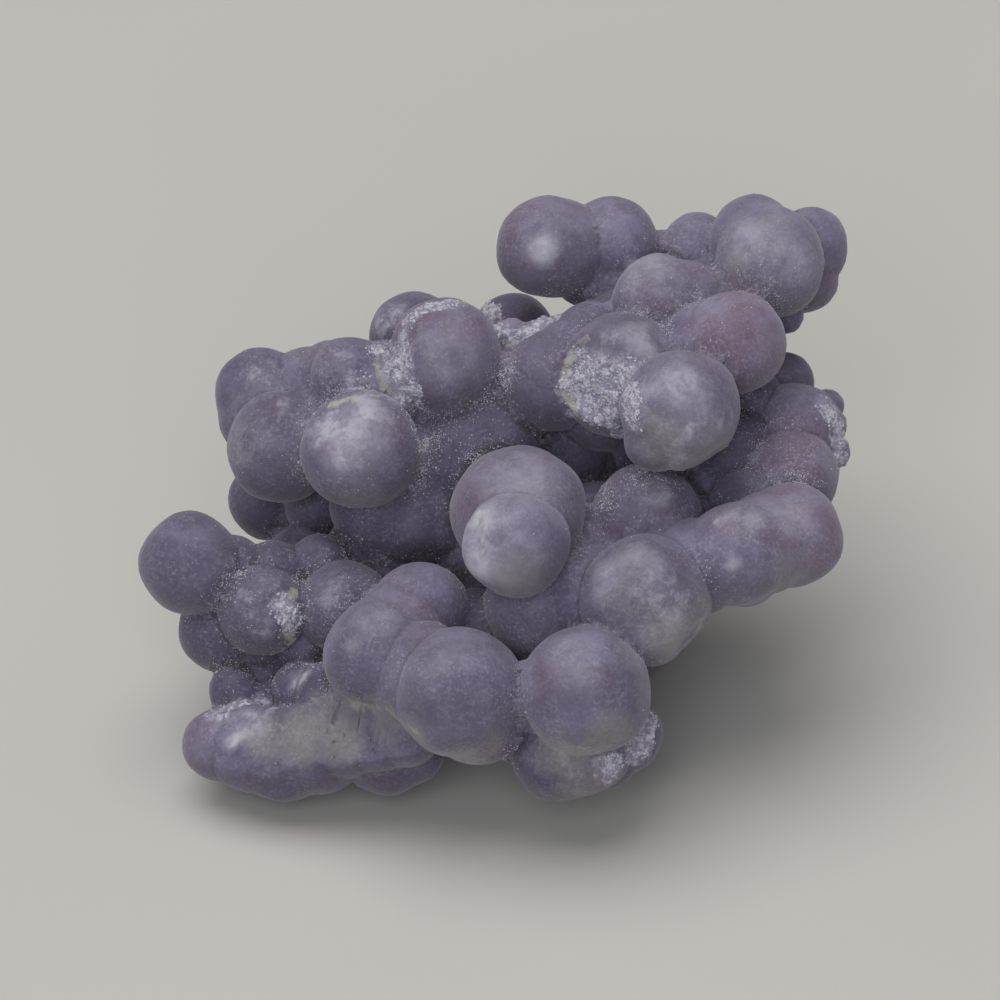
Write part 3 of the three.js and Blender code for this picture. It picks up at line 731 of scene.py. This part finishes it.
# The twelve corners of an icosahedron: three crossed rectangles whose sides stand in the golden ratio.
def crumbForm():
    long = (1 + math.sqrt(5)) / 2
    edge = 2.1  # a little over the edges' length of 2
    corners = [[0, a, b * long] for a in (-1, 1) for b in (-1, 1)]
    corners = np.array(corners + [[a, b * long, 0] for a in (-1, 1) for b in (-1, 1)]
                       + [[a * long, 0, b] for b in (-1, 1) for a in (-1, 1)], float)
    gaps = np.linalg.norm(corners[:, None] - corners, axis=2)
    i, j, k = np.meshgrid(np.arange(12), np.arange(12), np.arange(12), indexing="ij")
    beside = (gaps[i, j] < edge) & (gaps[j, k] < edge) & (gaps[i, k] < edge) & (i < j) & (j < k)
    faces = np.stack([i[beside], j[beside], k[beside]], axis=1)
    a, b, c = (corners[faces[:, place]] for place in range(3))
    inward = (np.cross(b - a, c - a) * a).sum(1) < 0
    faces[inward] = faces[inward][:, ::-1]
    return corners / np.linalg.norm(corners[0]), faces


# Copies of one small form, each turned at random, its corners at unequal distances, and partly in the skin.
def grainMesh(name, form, sites, normals, sizes, raised, seed, smooth):
    corners, faces = form
    random = np.random.default_rng(seed)
    count = len(sites)
    first = random.normal(size=(count, 3))
    first /= np.linalg.norm(first, axis=1)[:, None]
    second = np.cross(first, random.normal(size=(count, 3)))
    second /= np.linalg.norm(second, axis=1)[:, None]
    turns = np.stack([first, second, np.cross(first, second)], axis=1)
    reach = random.uniform(*grains["unevenness"], (count, len(corners), 1)) * sizes[:, None, None]
    middles = sites + normals * (sizes * raised)[:, None]
    points = middles[:, None] + np.einsum("ck,nkx->ncx", corners, turns) * reach
    points = np.clip(points, lowCorner, highCorner).reshape(-1, 3)
    allFaces = (faces[None] + len(corners) * np.arange(count)[:, None, None]).reshape(-1, 3)
    return meshFrom(name, points, allFaces, smooth)


# The grains' sizes are small + (large - small) times a random number squared, so most are small.
def grainPiece(name, kind, form, density, smooth):
    settings = grains[kind]
    sites, normals = drawSites(settings["count"], density, settings["seed"])
    small, large = settings["size"]
    random = np.random.default_rng(settings["seed"] + 1)
    sizes = small + (large - small) * random.random(len(sites)) ** 2
    mesh = grainMesh(name, form, sites, normals, sizes, settings["raised"], settings["seed"] + 2, smooth)
    return addPiece(name, mesh)


# Crystals gather along the creases of the dusty places, in clumps of two sizes.
def crystalDensity():
    band, dust, frost = (skinAttributes[key] for key in ("band", "dust", "frost"))
    settings = grains["crystals"]
    broad, fine = (latticeNoise(skinPoints, *clump) for clump in settings["clumps"])
    clumps = np.clip(0.5 + 0.9 * broad, 0, 1.4)
    clumps = clumps * np.clip(0.6 + 1.2 * fine, 0.05, 2)
    alongCreases = np.clip(band - settings["leastBand"], 0, 0.75) ** 1.4 * (0.1 + 1.5 * dust)
    scattered = (0.001 + settings["scattered"] * dust) * np.clip(clumps, 0.1, 1)
    return (alongCreases * clumps + scattered) * (1 - 0.8 * frost)


# Crumbs gather in the middle of the frosted places.
def crumbDensity():
    settings = grains["crumbs"]
    fine, broad = (latticeNoise(skinPoints, *clump) for clump in settings["clumps"])
    clumps = 0.5 + fine + 0.8 * broad
    frosted = np.clip(skinAttributes["frost"] - settings["leastFrost"], 0, 1)
    return frosted ** 1.5 * np.clip(clumps, 0.02, 1.5)


druse = grainPiece("druse", "crystals", crystalForm(), crystalDensity(), False)
frostCrumbs = grainPiece("frostCrumbs", "crumbs", crumbForm(), crumbDensity(), True)
print("grains", len(druse.data.polygons) + len(frostCrumbs.data.polygons), "faces")


def addNode(tree, kind, inputs=None, **settings):
    node = tree.nodes.new(kind)
    for key, value in settings.items():
        setattr(node, key, value)
    for key, value in (inputs or {}).items():
        if isinstance(value, bpy.types.NodeSocket):
            tree.links.new(value, node.inputs[key])
        else:
            node.inputs[key].default_value = value
    return node


def addMath(tree, operation, first, second, clamp=False):
    inputs = {0: first, 1: second}
    return addNode(tree, "ShaderNodeMath", inputs, operation=operation, use_clamp=clamp).outputs[0]


def addRange(tree, value, low, high, toLow=0.0, toHigh=1.0):
    inputs = {"Value": value, "From Min": low, "From Max": high, "To Min": toLow, "To Max": toHigh}
    return addNode(tree, "ShaderNodeMapRange", inputs, interpolation_type="SMOOTHSTEP").outputs["Result"]


# A mix of two colours. The node's colour sockets are its seventh, its eighth and its third output.
def addMix(tree, share, first, second):
    return addNode(tree, "ShaderNodeMix", {0: share, 6: first, 7: second}, data_type="RGBA").outputs[2]


def addNoise(tree, place, scale, detail, roughness=0.55):
    inputs = {"Vector": place, "Scale": scale, "Detail": detail, "Roughness": roughness}
    return addNode(tree, "ShaderNodeTexNoise", inputs).outputs["Fac"]


def readValue(tree, name):
    return addNode(tree, "ShaderNodeAttribute", attribute_name=name).outputs["Fac"]


# A group of nodes. An input without a starting number is a place, and the outputs are numbers.
def newGroup(name, inputs, outputs):
    group = bpy.data.node_groups.new(name, "ShaderNodeTree")
    for label, number in inputs.items():
        kind = "NodeSocketVector" if number is None else "NodeSocketFloat"
        socket = group.interface.new_socket(label, in_out="INPUT", socket_type=kind)
        if number is not None:
            socket.default_value = number
    for label in outputs:
        group.interface.new_socket(label, in_out="OUTPUT", socket_type="NodeSocketFloat")
    start = list(group.nodes.new("NodeGroupInput").outputs)[:len(inputs)]
    return group, start, group.nodes.new("NodeGroupOutput").inputs


# Fine white specks: the middles of Voronoi cells, shown where clumps of noise and the amount let them.
def makeSpeckGroup():
    inputs = {"Place": None, "Cells per metre": 5000.0, "Amount": 0.5}
    group, (place, density, amount), end = newGroup("fineSpecks", inputs, ["Mask"])
    cells = addNode(group, "ShaderNodeTexVoronoi", {"Vector": place, "Scale": density, "Randomness": 1.0})
    dot = addRange(group, cells.outputs["Distance"], 0.42, 0.1)
    chosen = addNode(group, "ShaderNodeSeparateColor", {0: cells.outputs["Color"]}).outputs[0]
    clumps = addRange(group, addNoise(group, place, 900.0, 2.0, 0.65), 0.35, 0.7, 0.25, 1.25)
    bar = addMath(group, "SUBTRACT", 1.0, addMath(group, "MULTIPLY", amount, clumps))
    shown = addRange(group, addMath(group, "SUBTRACT", chosen, bar), 0.0, 0.1)
    group.links.new(addMath(group, "MULTIPLY", dot, shown), end["Mask"])
    return group


# Noise of two sizes that makes the edges of all patches ragged, around 0.
def makeRaggedNoiseGroup():
    group, (place,), end = newGroup("raggedNoise", {"Place": None}, ["Noise"])
    broad = addNoise(group, place, 750.0, 5.0, 0.72)
    fine = addNoise(group, place, 3600.0, 2.0, 0.65)
    broadShare = addMath(group, "MULTIPLY", broad, 1.5)
    noise = addMath(group, "ADD", broadShare, addMath(group, "MULTIPLY", fine, 0.6))
    group.links.new(addMath(group, "SUBTRACT", noise, 1.05), end["Noise"])
    return group


# A soft patch gets a ragged edge: noise is added before the patch is cut off.
def makeRaggedGroup():
    inputs = {"Noise": 0.0, "Strength": 0.0, "Cut": 0.45, "Softness": 0.5}
    group, (noise, strength, cut, softness), end = newGroup("raggedPatch", inputs, ["Mask"])
    over = addMath(group, "SUBTRACT", addMath(group, "ADD", strength, noise), cut)
    shown = addMath(group, "DIVIDE", over, softness, clamp=True)
    present = addRange(group, strength, 0.0, 0.15)
    group.links.new(addMath(group, "MULTIPLY", shown, present), end["Mask"])
    return group


# Powder on a surface: very fine noise whose crests are kept, stronger where a broader noise is high.
def makePowderGroup():
    inputs = {"Place": None, "Amount": 0.5}
    group, (place, amount), end = newGroup("powder", inputs, ["Mask", "Height"])
    fine = addNoise(group, place, 5200.0, 3.0, 0.75)
    broad = addRange(group, addNoise(group, place, 520.0, 2.0, 0.6), 0.32, 0.72, 0.35, 1.3)
    crests = addMath(group, "MULTIPLY", addRange(group, fine, 0.44, 0.72), broad)
    group.links.new(addMath(group, "MULTIPLY", crests, amount), end["Mask"])
    group.links.new(fine, end["Height"])
    return group


# A knobbly crust: rounded Voronoi cells on a bent place, light on their crowns. A few cells are pits, which
# the stone's material darkens with painted shade.
def makeKnobblyGroup():
    group, (place,), end = newGroup("knobblyCrust", {"Place": None}, ["Height", "Pits"])
    sway = addNode(group, "ShaderNodeTexNoise", {"Vector": place, "Scale": 2600.0, "Detail": 1.0})
    reach = {0: sway.outputs["Color"], 1: (0.0005, 0.0005, 0.0005)}
    bend = addNode(group, "ShaderNodeVectorMath", reach, operation="MULTIPLY").outputs[0]
    bent = addNode(group, "ShaderNodeVectorMath", {0: place, 1: bend}, operation="ADD").outputs[0]
    cells = addNode(group, "ShaderNodeTexVoronoi", {"Vector": bent, "Scale": 2100.0})
    chosen = addNode(group, "ShaderNodeSeparateColor", {0: cells.outputs["Color"]}).outputs[0]
    few = addRange(group, chosen, 0.86, 0.9)
    pit = addMath(group, "MULTIPLY", addRange(group, cells.outputs["Distance"], 0.42, 0.2), few)
    group.links.new(addRange(group, cells.outputs["Distance"], 0.75, 0.15), end["Height"])
    group.links.new(pit, end["Pits"])
    return group


speckGroup = makeSpeckGroup()
raggedNoiseGroup = makeRaggedNoiseGroup()
raggedGroup = makeRaggedGroup()
powderGroup = makePowderGroup()
knobblyGroup = makeKnobblyGroup()


def useGroup(tree, group, inputs):
    return addNode(tree, "ShaderNodeGroup", inputs, node_tree=group)


finish = {
    "mauve": (0.147, 0.119, 0.196, 1),
    "pinkish": (0.178, 0.126, 0.180, 1),
    "lilac": (0.176, 0.164, 0.266, 1),
    "violet": (0.070, 0.058, 0.108, 1),
    # painted shade in the creases
    "creaseShadeViolet": (0.040, 0.034, 0.056, 1),
    "warmShade": (0.112, 0.096, 0.106, 1),
    "haze": (0.284, 0.270, 0.384, 1),
    "frostWhite": (0.560, 0.545, 0.620, 1),
    "paleGrey": (0.236, 0.227, 0.224, 1),
    "crustYellow": (0.470, 0.465, 0.350, 1),
    # painted shade for the deepest hollows and the frost's pits
    "pitShade": (0.045, 0.038, 0.045, 1),
    "tintShare": 0.22,  # how much a lobe's own tint shifts it between mauve and pinkish
    "darkAndShadeShare": 0.9,
    # how strongly the undersides get painted shade
    "underShadeShare": 0.75,
    "paleShare": 0.75,
    # white clouds, and the painted highlight streaks along the slab's rim
    "cloudAndHighlightShare": 0.8,
    "filmShare": 0.6,
    "crustShare": 0.7,
    # how strongly the deepest hollows get painted shade
    "pitShadeShare": 0.85,
    "speckShare": 0.85,
    "broadScale": 240.0,  # waves of noise to the metre
    "mottleScale": 1000.0,
    "hazeScale": 420.0,
    "blotchScale": 680.0,
    "specksPerMetre": 8200.0,
    "roughness": 0.64,
    "subsurface": 0.3,
    "subsurfaceScale": 0.0009,
    "subsurfaceRadius": (1.0, 0.75, 1.15),
    "sheen": 0.30,
    "sheenRoughness": 0.45,
    "sheenTint": (0.9, 0.88, 1.0, 1),
    "refraction": 1.53,
    "specular": 0.3,
    "bumpStrength": 0.6,
    "bumpDistance": 0.00014,
}


def startMaterial(piece, name):
    material = bpy.data.materials.new(name)
    material.use_nodes = True
    piece.data.materials.append(material)
    tree = material.node_tree
    place = addNode(tree, "ShaderNodeTexCoord").outputs["Object"]
    return tree, tree.nodes["Principled BSDF"].inputs, place


def finishStone():
    tree, shader, place = startMaterial(stone, "mauveChalcedony")
    names = ("crease", "band", "recess", "tint", "darkAndShade", "frost", "crust", "pale", "dust", "cloudAndHighlight", "film")
    crease, band, recess, tint, darkAndShade, frost, crust, pale, dust, cloudAndHighlight, film = (
        readValue(tree, name) for name in names)

    def times(first, second):
        return addMath(tree, "MULTIPLY", first, second)

    def plus(first, second):
        return addMath(tree, "ADD", first, second)

    def laidOver(share, name):
        return addMix(tree, share, colour, finish[name])

    def patchMask(strength, cut, softness):
        inputs = {"Noise": ragged, "Strength": strength, "Cut": cut, "Softness": softness}
        return useGroup(tree, raggedGroup, inputs).outputs[0]

    # the body's colour: mauve, pinkish or lilac from lobe to lobe, mottled, and violet on the dark lobes,
    # partly their own colour and partly painted shade where they are recessed or low
    broad = addNoise(tree, place, finish["broadScale"], 2.0, 0.5)
    mottle = addNoise(tree, place, finish["mottleScale"], 5.0, 0.68)
    warmth = plus(times(tint, finish["tintShare"]), broad)
    colour = addMix(tree, addRange(tree, warmth, 0.3, 0.75), finish["mauve"], finish["pinkish"])
    colour = laidOver(addRange(tree, mottle, 0.42, 0.72, 0.0, 0.6), "lilac")
    colour = laidOver(addRange(tree, mottle, 0.48, 0.25, 0.0, 0.35), "violet")
    colour = laidOver(times(darkAndShade, finish["darkAndShadeShare"]), "violet")

    # tops carry a pale haze, and undersides get a warm grey painted shade
    normal = addNode(tree, "ShaderNodeNewGeometry").outputs["Normal"]
    lift = addNode(tree, "ShaderNodeSeparateXYZ", {0: normal}).outputs["Z"]
    underShade = addRange(tree, plus(lift, times(broad, 0.35)), 0.35, -0.5)
    colour = laidOver(times(underShade, finish["underShadeShare"]), "warmShade")
    hazeCloud = addRange(tree, addNoise(tree, place, finish["hazeScale"], 4.0, 0.7), 0.36, 0.68)
    top = addRange(tree, lift, -0.4, 0.8, 0.12, 0.55)
    hazeShare = times(times(hazeCloud, top), addMath(tree, "SUBTRACT", 1.0, times(darkAndShade, 0.7)))
    colour = laidOver(hazeShare, "haze")
    ragged = useGroup(tree, raggedNoiseGroup, {"Place": place}).outputs[0]
    paleAmount = times(patchMask(pale, 0.1, 0.9), finish["paleShare"])
    colour = laidOver(paleAmount, "paleGrey")

    # blotched clouds of white just under the surface, and painted highlight streaks along the slab's rim
    blotches = addRange(tree, addNoise(tree, place, finish["blotchScale"], 4.0, 0.62), 0.34, 0.66, 0.2, 1.0)
    cloudAndHighlightAmount = times(times(cloudAndHighlight, blotches), finish["cloudAndHighlightShare"])
    colour = laidOver(cloudAndHighlightAmount, "frostWhite")

    # a thin worn film in flakes and streaks
    flakes = addRange(tree, mottle, 0.48, 0.6, 0.25, 1.0)
    filmAmount = times(times(patchMask(film, 0.15, 0.8), flakes), finish["filmShare"])
    colour = laidOver(filmAmount, "frostWhite")

    # painted shade: dark lines along the creases, and the deepest hollows darker still
    creaseShadeShare = addRange(tree, mottle, 0.35, 0.6, 0.25, 0.8)
    creaseShadeDepth = plus(0.25, times(addMath(tree, "MAXIMUM", dust, darkAndShade), 0.75))
    creaseShadeDepth = times(creaseShadeDepth, addMath(tree, "SUBTRACT", 1.0, pale, clamp=True))
    colour = laidOver(times(times(crease, creaseShadeShare), creaseShadeDepth), "creaseShadeViolet")
    # painted shade in the deepest hollows of the dark lobes
    recessShade = times(addRange(tree, recess, 0.45, 0.95), addRange(tree, darkAndShade, 0.8, 1.0))
    colour = laidOver(times(recessShade, finish["pitShadeShare"]), "pitShade")

    # white frost with painted shade in its pits, yellowish crust, powder and specks
    frostMask = patchMask(frost, 0.12, 0.75)
    knobbly = useGroup(tree, knobblyGroup, {"Place": place})
    crowns = addRange(tree, plus(knobbly.outputs["Height"], times(mottle, 1.2)), 0.7, 1.3, 0.05, 0.9)
    colour = laidOver(times(frostMask, 0.7), "haze")
    colour = laidOver(times(frostMask, crowns), "frostWhite")
    frostPitShade = times(times(frostMask, knobbly.outputs["Pits"]), 0.6)
    colour = laidOver(frostPitShade, "pitShade")
    crustAmount = times(patchMask(crust, 0.35, 0.5), finish["crustShare"])
    colour = laidOver(crustAmount, "crustYellow")
    powderAmount = plus(plus(0.25, times(band, 0.12)), times(dust, 0.06))
    powderAmount = times(powderAmount, addMath(tree, "SUBTRACT", 1.0, times(darkAndShade, 0.35)))
    powder = useGroup(tree, powderGroup, {"Place": place, "Amount": powderAmount})
    colour = laidOver(powder.outputs["Mask"], "frostWhite")
    speckAmount = plus(plus(0.04, times(times(band, dust), 0.9)), times(dust, 0.14))
    inputs = {"Place": place, "Cells per metre": finish["specksPerMetre"], "Amount": speckAmount}
    specks = useGroup(tree, speckGroup, inputs).outputs[0]
    colour = laidOver(times(specks, finish["speckShare"]), "frostWhite")
    tree.links.new(colour, shader["Base Color"])

    height = plus(times(mottle, 0.8), times(powder.outputs["Height"], 0.55))
    inputs = {"Height": height, "Strength": finish["bumpStrength"], "Distance": finish["bumpDistance"]}
    tree.links.new(addNode(tree, "ShaderNodeBump", inputs).outputs[0], shader["Normal"])
    roughness = addRange(tree, mottle, 0.3, 0.7, finish["roughness"] - 0.08, finish["roughness"] + 0.1)
    tree.links.new(roughness, shader["Roughness"])
    for label, key in (
        ("Subsurface Weight", "subsurface"), ("Subsurface Scale", "subsurfaceScale"),
        ("Subsurface Radius", "subsurfaceRadius"), ("Sheen Weight", "sheen"),
        ("Sheen Roughness", "sheenRoughness"), ("Sheen Tint", "sheenTint"),
        ("IOR", "refraction"), ("Specular IOR Level", "specular"),
    ):
        shader[label].default_value = finish[key]


grainFinish = {
    "druseShades": ((0.28, 0.26, 0.34, 1), (0.66, 0.64, 0.72, 1)),
    "druseRoughness": 0.3,
    "crumbShades": ((0.26, 0.235, 0.31, 1), (0.56, 0.54, 0.62, 1)),
    "crumbRoughness": 0.75,
    "shadeScale": 2600.0,
    "specular": 0.35,
}


# Grains share one recipe: two shades mixed by noise.
def finishGrains(piece, name, shades, roughness):
    tree, shader, place = startMaterial(piece, name)
    noise = addNoise(tree, place, grainFinish["shadeScale"], 2.0, 0.7)
    colour = addMix(tree, addRange(tree, noise, 0.36, 0.64), *shades)
    tree.links.new(colour, shader["Base Color"])
    varied = addRange(tree, noise, 0.3, 0.7, roughness, roughness + 0.25)
    tree.links.new(varied, shader["Roughness"])
    shader["Specular IOR Level"].default_value = grainFinish["specular"]


def finishFloor(floor):
    tree, shader, place = startMaterial(floor, "paleFloor")
    colour = addMix(tree, addNoise(tree, place, 18.0, 2.0), *studio["floorShades"])
    tree.links.new(colour, shader["Base Color"])
    shader["Roughness"].default_value = studio["floorRoughness"]


finishStone()
finishGrains(druse, "druseCrystals", grainFinish["druseShades"], grainFinish["druseRoughness"])
finishGrains(frostCrumbs, "frostCrumbs", grainFinish["crumbShades"], grainFinish["crumbRoughness"])
for piece in (stone, druse, frostCrumbs):
    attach(piece, "root")
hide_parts("grape_agate")
print("materials")


def makeCamera():
    camera = bpy.data.cameras.new("photoCamera")
    camera.sensor_width = 36.0
    camera.lens = camera.sensor_width * view["distance"] / view["frameWidth"]
    camera.clip_start, camera.clip_end = 0.01, 10.0
    holder = addPiece("photoCamera", camera)
    turn = Matrix(np.stack([acrossAxis, upAxis, nearAxis], axis=1).tolist()).to_4x4()
    holder.matrix_world = Matrix.Translation(Vector((cameraPoint * mm).tolist())) @ turn
    bpy.context.scene.camera = holder


studio = {
    "floorSize": 6.0,
    "floorShades": ((0.52, 0.51, 0.48, 1), (0.56, 0.55, 0.52, 1)),
    "floorRoughness": 0.85,
    "aimHeight": 0.01,
    "lamps": [
        # name, place, width, watts, colour
        ("wideAbove", (-0.12, 0.12, 0.80), 0.90, 5.2, (1.0, 0.98, 0.95)),
        ("softFront", (-0.10, -0.70, 0.45), 0.70, 3.0, (0.94, 0.96, 1.0)),
    ],
    "sky": (0.84, 0.86, 0.90, 1),
    "skyStrength": 0.19,
}


def makeStudio():
    half = studio["floorSize"] / 2
    corners = np.array([[-half, -half, 0], [half, -half, 0], [half, half, 0], [-half, half, 0]])
    floor = addPiece("floor", meshFrom("floor", corners / mm, np.array([[0, 1, 2, 3]])))
    finishFloor(floor)
    for name, place, width, watts, colour in studio["lamps"]:
        lamp = bpy.data.lights.new(name, "AREA")
        lamp.shape, lamp.size, lamp.energy, lamp.color = "DISK", width, watts, colour
        holder = addPiece(name, lamp)
        holder.location = place
        aim = Vector((0, 0, studio["aimHeight"])) - Vector(place)
        holder.rotation_euler = aim.to_track_quat("-Z", "Y").to_euler()
    world = bpy.data.worlds.new("softSky")
    world.use_nodes = True
    sky = world.node_tree.nodes["Background"].inputs
    sky["Color"].default_value = studio["sky"]
    sky["Strength"].default_value = studio["skyStrength"]
    bpy.context.scene.world = world
    bpy.context.scene.view_settings.view_transform = "Standard"


makeCamera()
makeStudio()
print("camera and studio")
